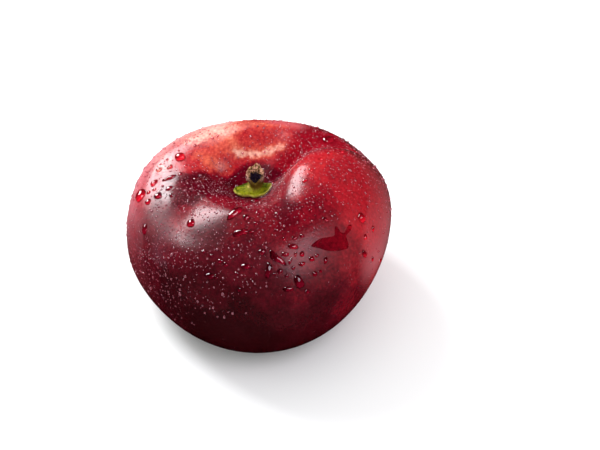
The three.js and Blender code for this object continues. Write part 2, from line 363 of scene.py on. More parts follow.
# azimuth, place, reach in azimuth, reach in place: where the skin has no shine, as in the suture
MATT = [(215, 4.42, 88, 0.48), (125, 4.74, 62, 0.26)]
SUTURE_MATT = dict(below=6, above=13, low=3.45, high=4.75, border=3)
MATT_SEED = 5
ROUGH_ZERO = 0.5  # colour attributes hold no value below 0, so this stands for no change


def swirl(points, reach, grain, seed):
    """Seeded shifts of each point by up to about reach mm, so that zones have natural borders."""
    return reach * np.stack([fractal(points, grain, seed + k) for k in range(3)], -1)


def pigment(azimuth, place, points):
    """Redness, orange and cream: a mean of the zones that favours the near ones, with painted shade round the
    stalk, and the streaks over it.
    """
    table = np.array(ZONES)
    centres = skin_points(table[:, 0], table[:, 1])
    nudged = points + swirl(points, 0.8, 2.5, 11)
    moved = nudged + swirl(points, 2.4, 10.0, 3)
    far = np.linalg.norm(moved[:, None, :] - centres[None, :, :], axis=2)
    below = 1 - smoothstep(*ZONE_REACH["border"], place)
    reach = ZONE_REACH["above"] + (ZONE_REACH["below"] - ZONE_REACH["above"]) * below
    weight = (1 + (far / reach[:, None]) ** 2) ** -4.0
    mean = weight @ table[:, 2:5] / weight.sum(1, keepdims=True)
    # painted shade in the hollow round the stalk
    painted_hollow_shade = smoothstep(HOLLOW_PAINTED_SHADE["start"], HOLLOW_PAINTED_SHADE["full"], place) * smoothstep(0, 0.5, sind(azimuth))
    mean[:, 0] *= 1 - HOLLOW_PAINTED_SHADE["share"] * painted_hollow_shade
    mean[:, 1:] *= smoothstep(0.35, 0.75, mean[:, :1])
    for streak in STREAKS:
        knots = np.array(streak["line"], float)
        steps = np.linspace(0, len(knots) - 1, 12 * len(knots))
        line = skin_points(*(np.interp(steps, np.arange(len(knots)), knots[:, k]) for k in (0, 1)))
        off = np.linalg.norm(nudged[:, None, :] - line[None, :, :], axis=2).min(1)
        mean[:, 1:] += np.exp(-(off / streak["width"]) ** 2)[:, None] * (streak["orange"], streak["cream"])
    return np.clip(mean, 0, 1)


def painted_edge_light(azimuth, place):
    """Painted reflection, sheen and shade where the skin is seen edge on: the tint, and how wide that band
    is.
    """
    tint, total, band = np.zeros((len(azimuth), 3)), np.zeros(len(azimuth)), np.zeros(len(azimuth))
    for at, where, wide, tall, colour, width in PAINTED_EDGE_LIGHT:
        far = np.hypot(turn_between(at, azimuth) / wide, (place - where) / tall)
        share = 1 - smoothstep(0.35, 1.0, far)
        tint += share[:, None] * np.array(colour)
        band += share * width
        total = total + share
    return np.column_stack([tint / np.maximum(total, 1e-6)[:, None], band / np.maximum(total, 1)])


# ---- Materials ----
class Nodes:
    """Short names for building a material's nodes."""

    def __init__(self, name):
        self.material = bpy.data.materials.new(name)
        self.material.use_nodes = True
        self.tree = self.material.node_tree
        self.shader = self.tree.nodes["Principled BSDF"]

    def add(self, kind, inputs=None, **settings):
        node = self.tree.nodes.new(kind)
        for key, value in settings.items():
            setattr(node, key, value)
        for key, value in (inputs or {}).items():
            self.put(node.inputs[key], value)
        return node

    def put(self, socket, value):
        if isinstance(value, bpy.types.NodeSocket):
            self.tree.links.new(value, socket)
        else:
            socket.default_value = value

    def math(self, operation, a, b=0.0, clamp=False):
        node = self.add("ShaderNodeMath", {0: a, 1: b}, operation=operation)
        node.use_clamp = clamp
        return node.outputs[0]

    def mix(self, factor, a, b, blend="MIX"):
        node = self.add("ShaderNodeMix", data_type="RGBA", blend_type=blend)
        self.put(node.inputs[0], factor)
        self.put(node.inputs[6], a)
        self.put(node.inputs[7], b)
        return node.outputs[2]

    def noise(self, scale, detail=3.0, rough=0.6, where=None):
        node = self.add("ShaderNodeTexNoise", {"Scale": scale, "Detail": detail, "Roughness": rough})
        self.put(node.inputs["Vector"], where or self.place())
        return node.outputs["Fac"]

    def place(self):
        return self.add("ShaderNodeTexCoord").outputs["Object"]

    def ramp(self, factor, low, high):
        node = self.add("ShaderNodeMapRange", {0: factor, 1: low, 2: high})
        node.interpolation_type = "SMOOTHSTEP"
        return node.outputs[0]

    def line(self, factor, low, high):
        return self.add("ShaderNodeMapRange", {0: factor, 1: low, 2: high}).outputs[0]


def skin_colour(nodes, settings):
    """The skin's colour: the pigments laid over each other, each with a broken edge, and fine specks."""
    zones = nodes.add("ShaderNodeAttribute", attribute_name="pigment").outputs["Color"]
    split = nodes.add("ShaderNodeSeparateColor", {0: zones})
    red, orange, cream = split.outputs
    coarse = nodes.noise(230.0, 4.0, 0.62)
    fine = nodes.noise(1200.0, 3.0, 0.6)
    grain = nodes.math("ADD", nodes.math("MULTIPLY", coarse, 0.55), nodes.math("MULTIPLY", fine, 0.45))
    swing = nodes.math("SUBTRACT", grain, 0.5)

    def broken(amount, strength):
        reach = nodes.math("MULTIPLY", amount, 4.0, clamp=True)
        shift = nodes.math("MULTIPLY", nodes.math("MULTIPLY", swing, strength), reach)
        return nodes.math("ADD", amount, shift, clamp=True)

    ripe = broken(red, 0.5)
    colour = nodes.mix(nodes.line(ripe, 0.0, 0.32), settings.dark, settings.maroon)
    colour = nodes.mix(nodes.line(ripe, 0.32, 1.0), colour, settings.red)
    colour = nodes.mix(nodes.ramp(broken(orange, 1.3), 0.0, 1.0), colour, settings.orange)
    colour = nodes.mix(nodes.ramp(broken(cream, 1.3), 0.2, 0.8), colour, settings.cream)
    shade = nodes.ramp(fine, 0.3, 0.7)
    tone = nodes.mix(shade, (0.82, 0.78, 0.80, 1), (1.14, 1.18, 1.16, 1))
    colour = nodes.mix(1.0, colour, tone, "MULTIPLY")
    specks = nodes.add("ShaderNodeTexVoronoi", {"Scale": 900.0, "Vector": nodes.place()})
    near = nodes.line(specks.outputs["Distance"], 0.22, 0.10)
    speck = nodes.math("MULTIPLY", near, nodes.math("MULTIPLY", ripe, 0.12))
    return nodes.mix(speck, colour, settings.speck)


def skin_material(settings):
    nodes = Nodes("skin")
    # painted reflection, sheen and shade, mixed into the colour where the skin is seen edge on
    edge_light = nodes.add("ShaderNodeAttribute", attribute_name="edge")
    facing = nodes.add("ShaderNodeLayerWeight", {"Blend": 0.5}).outputs["Facing"]
    share = nodes.ramp(nodes.math("ADD", facing, edge_light.outputs["Alpha"]), 0.75, 1.55)
    nodes.put(nodes.shader.inputs["Base Color"],
              nodes.mix(share, skin_colour(nodes, settings), edge_light.outputs["Color"]))
    bloom = nodes.noise(420.0, 5.0, 0.7)
    extra = nodes.add("ShaderNodeAttribute", attribute_name="roughening").outputs["Fac"]
    rough = nodes.math("ADD", settings.roughness - 0.10 - ROUGH_ZERO, nodes.math("MULTIPLY", bloom, 0.20))
    nodes.put(nodes.shader.inputs["Roughness"], nodes.math("MAXIMUM", nodes.math("ADD", rough, extra), 0.08))
    nodes.shader.inputs["IOR"].default_value = 1.45
    nodes.shader.inputs["Subsurface Weight"].default_value = 0.06
    nodes.shader.inputs["Subsurface Radius"].default_value = (1.0, 0.25, 0.15)
    nodes.shader.inputs["Subsurface Scale"].default_value = 0.0012
    pores = nodes.noise(1300.0, 3.0, 0.6)
    bump = nodes.add("ShaderNodeBump", {"Strength": 0.5, "Distance": 0.00010, "Height": pores})
    nodes.put(nodes.shader.inputs["Normal"], bump.outputs[0])
    return nodes.material


def matt_skin_material(settings):
    """The skin without its shine."""
    nodes = Nodes("skin_matt")
    nodes.put(nodes.shader.inputs["Base Color"], skin_colour(nodes, settings))
    nodes.shader.inputs["Roughness"].default_value = 0.8
    nodes.shader.inputs["Specular IOR Level"].default_value = 0.0
    return nodes.material


def wet_skin_material(settings):
    """The skin seen through water: no gloss of its own, and painted light and shade multiplied into its
    colour.
    """
    nodes = Nodes("skin_under_water")
    # painted light and shade from the water, multiplied into the skin's colour
    painted_light_and_shade = nodes.add("ShaderNodeAttribute", attribute_name="painted_light_and_shade").outputs["Color"]
    nodes.put(nodes.shader.inputs["Base Color"],
              nodes.mix(1.0, skin_colour(nodes, settings), painted_light_and_shade, "MULTIPLY"))
    nodes.shader.inputs["Roughness"].default_value = 1.0
    nodes.shader.inputs["Specular IOR Level"].default_value = 0.0
    return nodes.material


def water_material(name, colour=(1, 1, 1, 1), clear=1.0, rough=0.02, coat=1.0, ior=1.33):
    """Water; its coat stands in for the bright glints that are finer than the view can show."""
    nodes = Nodes(name)
    nodes.shader.inputs["Base Color"].default_value = colour
    nodes.shader.inputs["Transmission Weight"].default_value = clear
    nodes.shader.inputs["Roughness"].default_value = rough
    nodes.shader.inputs["IOR"].default_value = ior
    nodes.shader.inputs["Coat Weight"].default_value = coat
    nodes.shader.inputs["Coat IOR"].default_value = 1.7
    nodes.shader.inputs["Coat Roughness"].default_value = 0.05
    return nodes.material


def stalk_material():
    nodes = Nodes("stalk")
    paint = nodes.add("ShaderNodeAttribute", attribute_name="paint").outputs["Color"]
    fine = nodes.noise(2600.0, 4.0, 0.65)
    dim = nodes.mix(nodes.ramp(fine, 0.25, 0.75), (0.62, 0.6, 0.55, 1), (1.3, 1.3, 1.25, 1))
    nodes.put(nodes.shader.inputs["Base Color"], nodes.mix(1.0, paint, dim, "MULTIPLY"))
    nodes.shader.inputs["Roughness"].default_value = 0.5
    nodes.shader.inputs["Specular IOR Level"].default_value = 0.05
    bump = nodes.add("ShaderNodeBump", {"Strength": 0.5, "Distance": 0.0002, "Height": fine})
    nodes.put(nodes.shader.inputs["Normal"], bump.outputs[0])
    return nodes.material


# ---- The settings ----
def colour_property(name, text, value):
    return FloatVectorProperty(name=name, description=text, subtype="COLOR", size=4,
                               min=0, max=1, default=value)


class NectarineSkin(bpy.types.PropertyGroup):
    # the darkest skin, under the belly, is partly painted shade
    dark: colour_property("Dark", "Skin where the fruit is darkest", (0.016, 0.0003, 0.0010, 1))
    maroon: colour_property("Maroon", "Skin on the shaded front", (0.080, 0.0012, 0.0062, 1))
    red: colour_property("Red", "Skin where it is bright red", (0.42, 0.006, 0.014, 1))
    orange: colour_property("Orange", "Skin on the sunlit slope of the hollow", (0.60, 0.11, 0.06, 1))
    cream: colour_property("Cream", "Patches without red", (0.68, 0.34, 0.26, 1))
    speck: colour_property("Specks", "Fine pale specks", (0.62, 0.22, 0.20, 1))
    roughness: FloatProperty(name="Roughness", description="How soft the skin's shine is",
                             min=0.05, max=1, default=0.24)


class NectarineStalk(bpy.types.PropertyGroup):
    green: colour_property("Green", "Deep green of the collar", (0.045, 0.072, 0.0015, 1))
    leaf: colour_property("Leaf", "Lighter green of the collar", (0.19, 0.20, 0.005, 1))
    edge: colour_property("Edge", "Yellow-green edge of the collar", (0.40, 0.33, 0.07, 1))
    tip: colour_property("Tip", "Cream end of the collar", (0.62, 0.48, 0.24, 1))
    neck: colour_property("Neck", "Brown of the neck", (0.12, 0.075, 0.01, 1))
    bark: colour_property("Bark", "Greyish pink of the dried sides", (0.24, 0.12, 0.10, 1))
    # painted shade in the hollow of the dried end
    dried: colour_property("Dried", "Dark inside of the dried end", (0.016, 0.008, 0.022, 1))
    broken: colour_property("Broken", "Pale crumbs on the broken rim", (0.70, 0.36, 0.25, 1))


class NectarineWater(bpy.types.PropertyGroup):
    beads: IntProperty(name="Beads", description="How many fine beads cover the skin",
                       min=0, max=4000, default=3400)
    seed: IntProperty(name="Seed", description="Start of the seeded draws", min=0, default=7)
    steepness: FloatProperty(name="Steepness", description="Height of a drop over its width",
                             min=0.1, max=0.5, default=0.36)


class NectarineStage(bpy.types.PropertyGroup):
    key_power: FloatProperty(name="Key", description="Power of the soft light behind the left",
                             min=0, unit="POWER", default=4.6)
    fill_power: FloatProperty(name="Fill", description="Power of the soft light in front on the right",
                              min=0, unit="POWER", default=1.5)
    surround: FloatProperty(name="Surround", description="Brightness of the white room",
                            min=0, max=2, default=0.95)


# ---- The skin ----
_shared = {}


def build_skin():
    azimuths, places = skin_grid()
    rows = places[1:-1]
    grid = skin_points(azimuths[None, :], rows[:, None])
    ends = skin_points(np.zeros(2), np.array([0.0, 5.0]))
    points = np.concatenate([ends[:1], grid.reshape(-1, 3), ends[1:]])
    flat_azimuth = np.concatenate([[0], np.tile(azimuths, len(rows)), [0]])
    flat_place = np.concatenate([[0], np.repeat(rows, len(azimuths)), [5]])
    settings = bpy.context.scene.nectarine_skin
    faces = lathe_faces(len(rows), AROUND)
    materials = [skin_material(settings), matt_skin_material(settings)]
    skin = link_mesh("fruit_skin", to_frame(points), faces, materials)
    share = shineless(flat_azimuth, flat_place)
    draw = np.random.default_rng(MATT_SEED).uniform(size=len(faces))
    skin.data.polygons.foreach_set("material_index", [int(d < share[f[0]]) for d, f in zip(draw, faces)])
    zones = pigment(flat_azimuth, flat_place, points)
    set_colours(skin, "pigment", zones)
    # painted reflection, sheen and shade for where the skin is seen edge on
    set_colours(skin, "edge", painted_edge_light(flat_azimuth, flat_place))
    extra = roughening(flat_azimuth, flat_place)
    set_colours(skin, "roughening", np.column_stack([extra, extra, extra]))
    _shared["tree"] = BVHTree.FromPolygons([tuple(p) for p in to_frame(points)], faces)
    _shared["faces"] = faces
    _shared["zones"] = zones
    _shared["wet"] = wet_skin_material(settings)
    return skin


def roughening(azimuth, place):
    """How much rougher the skin is than elsewhere, by the SHINE rows."""
    extra = np.full(len(azimuth), ROUGH_ZERO)
    for at, where, wide, tall, amount in SHINE:
        far = np.hypot(turn_between(at, azimuth) / wide, (place - where) / tall)
        extra = extra + amount * (1 - smoothstep(0.3, 1.0, far))
    return extra


def shineless(azimuth, place):
    """The share of the skin, from 0 to 1, that shows no shine: deep in the suture and in the MATT rows."""
    off = turn_between(along(FOLDS[0]["line"], place), azimuth)
    border = SUTURE_MATT["border"]
    share = smoothstep(-SUTURE_MATT["below"] - border, -SUTURE_MATT["below"], off)
    share = share * (1 - smoothstep(SUTURE_MATT["above"], SUTURE_MATT["above"] + border, off))
    share = share * ((place > SUTURE_MATT["low"]) & (place < SUTURE_MATT["high"]))
    for at, where, wide, tall in MATT:
        far = np.hypot(turn_between(at, azimuth) / wide, (place - where) / tall)
        share = np.maximum(share, 1 - smoothstep(0.55, 1.0, far))
    return share


def zones_near(points):
    """The pigment of the skin nearest to each point, for what lies under water."""
    out = []
    for p in points:
        index = _shared["tree"].find_nearest(Vector(p))[2]
        out.append(_shared["zones"][_shared["faces"][index][0]])
    return np.array(out)


# ---- Water ----
SKIN_CLEARANCE = 0.00001
KEY = dict(azimuth=137, elevation=40, distance=0.6, size=0.30)
# painted light and shade, as how many times as bright as dry skin the skin under a drop is: on its
# near side, where the drop gathers light, and at its rim; and under a fine bead
WET_SHADE = 0.75
WET_LIGHT = 2.6
WET_RIM_SHADE = 0.30
BEAD_LIGHT = 1.6


def toward(azimuth, elevation):
    a, e = math.radians(azimuth), math.radians(elevation)
    return Vector((math.cos(a) * math.cos(e), math.sin(a) * math.cos(e), math.sin(e)))


def drop_shape(centre, normal, long_way, long, wide, steep, rings, spokes, draw, ragged=0.0, taper=0.0):
    """Rings of a drop on the skin, from its rim to its top, the same rings underneath, and painted light and
    shade.
    """
    tree = _shared["tree"]
    side = normal.cross(long_way).normalized()
    bumps = [draw.normal(0, ragged) for _ in range(3)]
    turns = [draw.uniform(0, math.tau) for _ in range(3)]
    height = steep * min(long, wide)
    away = -toward(KEY["azimuth"], KEY["elevation"])
    away = (away - normal * away.dot(normal)).normalized()
    dome, under, painted_light_and_shade = [], [], []
    for ring in range(rings, 0, -1):
        share = math.sin(0.5 * math.pi * ring / rings)
        lift = height * math.sqrt(max(0.0, 1 - share * share)) if ring < rings else 0.0
        for spoke in range(spokes):
            angle = math.tau * spoke / spokes
            swell = 1 + sum(b * math.cos((k + 2) * angle + t)
                            for k, (b, t) in enumerate(zip(bumps, turns)))
            narrow = 1 - taper * math.cos(angle)
            flat = (long_way * math.cos(angle) * long / 2
                    + side * math.sin(angle) * narrow * wide / 2) * swell * share
            hit, hit_normal, _, _ = tree.ray_cast(centre + flat + normal * long * 0.5, -normal, long * 1.5)
            if hit is None:
                hit, hit_normal = centre + flat, normal
            dome.append(hit + hit_normal * (lift + SKIN_CLEARANCE))
            under.append(hit + hit_normal * SKIN_CLEARANCE * 2)
            painted_light_and_shade.append(painted_drop_light(flat.dot(away) / (0.5 * min(long, wide)), share))
    dome.append(centre + normal * (height + SKIN_CLEARANCE))
    under.append(centre + normal * SKIN_CLEARANCE * 2)
    painted_light_and_shade.append(painted_drop_light(0.0, 0.0))
    return dome, under, painted_light_and_shade


def painted_drop_light(along_light, share):
    """Painted light and shade on the skin under a drop: brightest beyond its middle, dark on the near side
    and at its rim.
    """
    bright = WET_SHADE + (WET_LIGHT - WET_SHADE) * smoothstep(-0.5, 0.7, along_light)
    return float(bright + (WET_RIM_SHADE - bright) * smoothstep(0.70, 0.97, share))


def cap_faces(rim, first, rings, spokes, flip):
    """Faces over rings of vertices from a rim to a last one; the rim may be another cap's."""
    starts = [rim] + [first + k * spokes for k in range(rings - 1)]
    tip = first + (rings - 1) * spokes
    faces = []
    for a, b in zip(starts[:-1], starts[1:]):
        for k in range(spokes):
            n = (k + 1) % spokes
            faces.append((a + k, a + n, b + n, b + k))
    faces += [(starts[-1] + k, starts[-1] + (k + 1) % spokes, tip) for k in range(spokes)]
    return [tuple(reversed(f)) for f in faces] if flip else faces


def water_piece(name, drops, rings, spokes, water):
    """One piece from many drops, water on top and wet skin underneath."""
    vertices, faces, slots, painted_light_and_shade = [], [], [], []
    for dome, under, painted_light_values in drops:
        rim = len(vertices)
        vertices += dome
        painted_light_and_shade += painted_light_values
        top = cap_faces(rim, rim + spokes, rings, spokes, False)
        if under:
            base = cap_faces(rim, len(vertices), rings, spokes, True)
            vertices += under[spokes:]
            painted_light_and_shade += painted_light_values[spokes:]
        else:
            base = [tuple(rim + k for k in reversed(range(spokes)))]
        faces += top + base
        slots += [0] * len(top) + [1] * len(base)
    piece = link_mesh(name, vertices, faces, [water, _shared["wet"]])
    piece.data.polygons.foreach_set("material_index", slots)
    set_colours(piece, "pigment", zones_near(vertices))
    # painted light and shade for the skin under the water
    set_colours(piece, "painted_light_and_shade", np.column_stack([painted_light_and_shade, painted_light_and_shade, painted_light_and_shade]))
    return piece


# Where each drop is seen in the view, its length and width on the skin in mm, and its tilt in the view
DROPS = [
    # left shoulder
    (180, 157, 3.1, 2.8, 20), (159, 169.7, 1.9, 1.5, 20), (170, 167, 2.0, 1.3, 30), (169, 178, 4.0, 1.4, 22),
    (154, 183, 2.7, 1.6, 45), (169, 188.5, 2.2, 1.5, 30), (154.5, 189.5, 1.3, 0.9, 30),
    (148.5, 192.5, 1.4, 1.0, 40), (158, 196, 2.5, 2.1, 30), (171.5, 195.5, 1.4, 1.3, 0),
    (140.6, 195.7, 4.4, 3.0, 82), (148, 202, 2.0, 1.7, 60), (145, 229, 3.4, 2.0, 82),
    (185.5, 166, 1.3, 0.9, 60), (180.5, 174, 1.4, 1.0, 45), (194, 178.5, 2.2, 0.7, 150),
    # rim of the hollow and front
    (191, 223, 2.5, 2.3, 70), (235, 212.5, 5.8, 2.4, 38), (246.3, 217.6, 2.0, 1.7, 0),
    (254.5, 201, 2.8, 1.3, 8), (257.6, 213, 1.3, 1.1, 0), (271, 210.5, 1.2, 1.0, 0),
    (256, 223.5, 1.3, 1.1, 0), (241, 232.5, 4.4, 1.8, 12), (251, 231.5, 1.9, 1.0, 15),
    (277, 213.5, 1.2, 1.1, 0), (311, 211, 1.2, 0.9, 0), (325.5, 219.5, 1.8, 0.9, 145),
    (273, 183, 1.1, 0.8, 60),
    # middle of the belly
    (277.5, 258.5, 5.4, 1.9, 143), (268.4, 271, 4.3, 1.6, 78), (285.2, 254.4, 2.1, 1.3, 0),
    (293, 246.4, 2.9, 1.5, 170), (295, 238, 1.4, 1.2, 0), (262, 252, 1.9, 1.6, 10),
    (290.3, 261, 2.2, 0.7, 65), (295.4, 254.4, 1.3, 0.8, 80), (302, 254, 1.6, 1.3, 80),
    (311.7, 259, 1.6, 1.4, 10), (316.8, 255.4, 1.1, 1.0, 0), (325.5, 260.5, 1.9, 1.1, 80),
    (302, 264, 1.9, 1.2, 20), (293.4, 267.7, 1.2, 1.0, 40), (280, 271.2, 1.6, 1.2, 20),
    (274.5, 274, 0.9, 0.8, 0), (286.7, 276, 1.1, 1.0, 0), (314.8, 273.8, 1.5, 1.4, 0),
    (320.4, 271.2, 0.9, 0.8, 0), (299, 282, 4.0, 2.3, 112), (288.5, 289, 2.6, 1.5, 10),
    (307, 291.5, 1.6, 1.0, 150), (302, 236, 1.2, 1.0, 0), (284, 239, 1.2, 0.9, 120),
    # low on the left
    (210, 276, 2.6, 1.5, 165), (216, 277, 1.2, 0.9, 120), (246, 266.5, 2.8, 1.5, 0),
    (211, 255.5, 1.1, 1.0, 0), (220, 261, 1.3, 1.1, 0), (226, 264.5, 1.3, 1.2, 0),
    (239, 289.5, 1.3, 1.1, 60), (236.5, 273.5, 1.0, 0.7, 60), (203.5, 251.5, 1.1, 1.0, 0),
    # right
    (361.5, 218, 2.8, 2.6, 90), (364.3, 254, 2.4, 1.6, 120), (372.4, 259, 1.5, 0.9, 90),
    (373, 229, 1.8, 0.9, 90), (365.3, 237, 1.6, 1.1, 90), (328.5, 140, 4.0, 2.6, 20),
    (330, 153.5, 1.4, 1.0, 0), (341.5, 152, 1.3, 1.0, 0), (320.5, 159, 1.2, 0.9, 0),
    (311, 170, 1.2, 1.0, 0), (305, 180.5, 1.6, 1.2, 30), (380, 260, 1.8, 1.2, 110),
]
PUDDLE = [
    (310, 246.5), (315, 241.5), (321.5, 238), (330, 236.8), (334.7, 236), (334.5, 230), (335.5, 225.3),
    (338.5, 228.5), (340.8, 232.6), (345, 233), (347.5, 227), (348.5, 224.3), (352.2, 225), (351.2, 230.4),
    (346, 234.8), (347, 239.6), (349, 245.4), (347.8, 248.8), (340, 250.6), (333.7, 251.2),
    (326.5, 250.8), (321.4, 248.8), (315.3, 247.4),
]
PUDDLE_MIDDLE = (339, 242)
PUDDLE_DEPTH = 0.16
PUDDLE_SHADE = 0.75
PUDDLE_REACH = 5.0
PUDDLE_RINGS = 10
DROP_MESH = (7, 28)  # rings and spokes
DROP_RAGGED = 0.06
DROP_TAPER = 0.25
BEAD_MESH = (3, 8)
BEAD_WIDTH = dict(middle=0.34, spread=0.42, least=0.20, most=1.0)
BEAD_STEEPNESS = 0.42
BEAD_PLACES = (2.35, 4.85)
BEAD_SPACING = 0.65  # least distance between two beads, as a share of their widths together
BEAD_THIN = 36  # mm off the axis: nearer to it there are fewer beads
BEADS_TRIED = 8  # places drawn for each bead that is wanted


def seen_on_skin(x, y):
    """Where a place in the view falls on the skin."""
    hit = _shared["tree"].ray_cast(camera_place(), sight(x, y))
    return hit[0], hit[1]


def build_drops():
    settings = bpy.context.scene.nectarine_water
    draw = np.random.default_rng(settings.seed)
    drops = []
    _shared["drops"] = []
    for x, y, long, wide, tilt in DROPS:
        centre, normal = seen_on_skin(x, y)
        turn = math.radians(tilt)
        ahead = seen_on_skin(x + 2 * math.cos(turn), y - 2 * math.sin(turn))[0]
        if centre is None or ahead is None:
            raise RuntimeError("a drop at %g, %g misses the skin" % (x, y))
        way = ahead - centre
        way = (way - normal * way.dot(normal)).normalized()
        drops.append(drop_shape(centre, normal, way, long * MM, wide * MM, settings.steepness,
                                *DROP_MESH, draw, DROP_RAGGED, draw.uniform(-DROP_TAPER, DROP_TAPER)))
        _shared["drops"].append((centre, long * MM / 2))
    return water_piece("water_drops", drops, *DROP_MESH, water_material("water"))


def build_puddle():
    """A thin sheet of water with a lobed outline."""
    tree = _shared["tree"]
    outline = []
    for i in range(len(PUDDLE)):
        a, b = Vector(PUDDLE[i]), Vector(PUDDLE[(i + 1) % len(PUDDLE)])
        outline += [a.lerp(b, k / 4) for k in range(4)]
    for _ in range(2):
        outline = [(outline[i - 1] + outline[i] * 2 + outline[(i + 1) % len(outline)]) / 4
                   for i in range(len(outline))]
    centre = Vector(PUDDLE_MIDDLE)
    rings, spokes = PUDDLE_RINGS, len(outline)
    dome, under, painted_light_and_shade = [], [], []
    for ring in range(rings, -1, -1):
        share = ring / rings
        lift = PUDDLE_DEPTH * MM * math.sqrt(1 - share ** 8)
        for p in outline if ring else [centre]:
            q = centre + (p - centre) * share
            hit, normal, _, _ = tree.ray_cast(camera_place(), sight(q.x, q.y))
            dome.append(hit + normal * (lift + SKIN_CLEARANCE))
            under.append(hit + normal * SKIN_CLEARANCE * 2)
            painted_light_and_shade.append(PUDDLE_SHADE)
    _shared["drops"].append((dome[-1], PUDDLE_REACH * MM))
    sheet = water_material("sheet", coat=0.0, ior=1.01)
    return water_piece("water_puddle", [(dome, under, painted_light_and_shade)], rings, spokes, sheet)


def bead_share(azimuth, place):
    """How thickly fine beads lie, from 0 to 1: least low down on the right and none underneath."""
    front = np.exp(-(turn_between(282, azimuth) / 38) ** 2)
    low = smoothstep(2.78 + 0.40 * front, 3.42 + 0.22 * front, place)
    away = 1 - 0.7 * np.exp(-(turn_between(335, azimuth) / 45) ** 2) * (1 - smoothstep(3.5, 3.9, place))
    pale = 1 - 0.85 * np.exp(-(turn_between(108, azimuth) / 42) ** 2)
    middle = 1 - 0.6 * np.exp(-(turn_between(300, azimuth) / 35) ** 2 - ((place - 3.5) / 0.4) ** 2)
    return low * away * pale * middle


def build_mist():
    settings = bpy.context.scene.nectarine_water
    draw = np.random.default_rng(settings.seed + 1)
    tree = _shared["tree"]
    count = settings.beads * BEADS_TRIED
    azimuth = draw.uniform(0, 360, count)
    place = draw.uniform(*BEAD_PLACES, count)
    radius = skin_profile(azimuth, place)[0]
    keep = draw.uniform(size=count) < bead_share(azimuth, place) * np.clip(radius / BEAD_THIN, 0, 1)
    width = draw.lognormal(math.log(BEAD_WIDTH["middle"]), BEAD_WIDTH["spread"], count)
    width = np.clip(width, BEAD_WIDTH["least"], BEAD_WIDTH["most"])
    stretch = draw.uniform(1.0, 1.35, count)
    points = to_frame(skin_points(azimuth, place))
    up = Vector((0, 0, 1))
    cells = {}
    drops = []
    for i in np.flatnonzero(keep):
        if len(drops) >= settings.beads:
            break
        wide = width[i] * MM
        hit, normal, _, _ = tree.find_nearest(Vector(points[i]))
        if any((hit - c).length < r + wide for c, r in _shared["drops"]):
            continue
        key = tuple(int(v // MM) for v in hit)
        near = [q for dx in (-1, 0, 1) for dy in (-1, 0, 1) for dz in (-1, 0, 1)
                for q in cells.get((key[0] + dx, key[1] + dy, key[2] + dz), [])]
        if any((hit - c).length < (w + wide) * BEAD_SPACING for c, w in near):
            continue
        cells.setdefault(key, []).append((hit, wide))
        way = (up - normal * up.dot(normal)).normalized()
        dome, _, _ = drop_shape(hit, normal, way, wide * stretch[i], wide, BEAD_STEEPNESS, *BEAD_MESH, draw)
        drops.append((dome, None, [BEAD_LIGHT] * len(dome)))
    # the beads' pale pink, part-clear colour is partly the milky look of fine mist and partly painted glints
    beads = water_material("beads", (0.74, 0.28, 0.35, 1), 0.78, 0.10, 0.65)
    return water_piece("water_beads", drops, *BEAD_MESH, beads)


# ---- The stalk ----
STALK_ROWS = 110
STALK_AROUND = 120
SEAT_GAP = 0.05
LIP_SHARE = 0.5  # share of the outline that is the collar
INSIDE_SHARE = 0.78  # share of the outline past which it is inside the hollow
LIP = dict(end=5.3, side=3.2, thick=1.0, curl=0.2)
LOBES = dict(toward=(348, 203), width=42)
NOTCH = dict(depth=0.6, toward=252, width=16)
STUB = dict(x=0.85, y=1.0, neck=2.1, tip=2.35, rim=5.4)
HOLLOW = dict(radius=1.6, depth=1.5)
BREAK = dict(slope=1.45, rough=0.3, teeth=5)
RIB = dict(azimuth=208, width=15)


def collar_at(azimuth):
    """How far the collar reaches from its middle at an azimuth, and how much it curls up there."""
    lobe = sum(math.exp(-(turn_between(at, azimuth) / LOBES["width"]) ** 2) for at in LOBES["toward"])
    notch = NOTCH["depth"] * math.exp(-(turn_between(NOTCH["toward"], azimuth) / NOTCH["width"]) ** 2)
    return LIP["side"] + (LIP["end"] - LIP["side"]) * lobe - notch, LIP["curl"] * lobe


def rim_height(azimuth):
    return (STUB["rim"] + BREAK["slope"] * sind(azimuth)
            + BREAK["rough"] * sind(BREAK["teeth"] * azimuth + 40))


def stalk_outline(azimuth):
    """Radius and height over the seat: underside, lip, dish, neck, broken rim, hollow."""
    lip, curl = collar_at(azimuth)
    neck, tip, thick = STUB["neck"], STUB["tip"], LIP["thick"]
    rim = rim_height(azimuth)
    inner = HOLLOW["radius"]
    return [
        (0, 0), (lip * 0.5, 0), (lip * 0.86, 0.1 + curl * 0.4), (lip, thick / 2 + curl),
        (lip * 0.94, thick + curl), (lip * 0.78, thick + curl * 0.4), (neck + 0.4, 1.3), (neck, 2),
        (neck, (2 + rim) / 2), (tip, rim - 0.5), ((tip + inner) / 2, rim), (inner, rim - 0.5),
        (inner * 0.6, rim - HOLLOW["depth"]), (0, STUB["rim"] - HOLLOW["depth"]),
    ]


def spline_at(points, share):
    """A Catmull-Rom spline through the points."""
    last = len(points) - 1
    position = share * last
    i = min(int(position), last - 1)
    t = position - i
    p = [points[max(0, min(last, i + k))] for k in (-1, 0, 1, 2)]
    out = []
    for axis in (0, 1):
        a, b, c, d = (q[axis] for q in p)
        m0, m1 = (c - a) / 2, (d - b) / 2
        out.append((2 * b - 2 * c + m0 + m1) * t ** 3 + (-3 * b + 3 * c - 2 * m0 - m1) * t * t + m0 * t + b)
    return out


def seat_height(azimuth, distance):
    places = np.linspace(4, 5, 81)
    radius, height, _ = skin_profile(np.full(81, float(azimuth)), places)
    return float(np.interp(-distance, -radius, height))


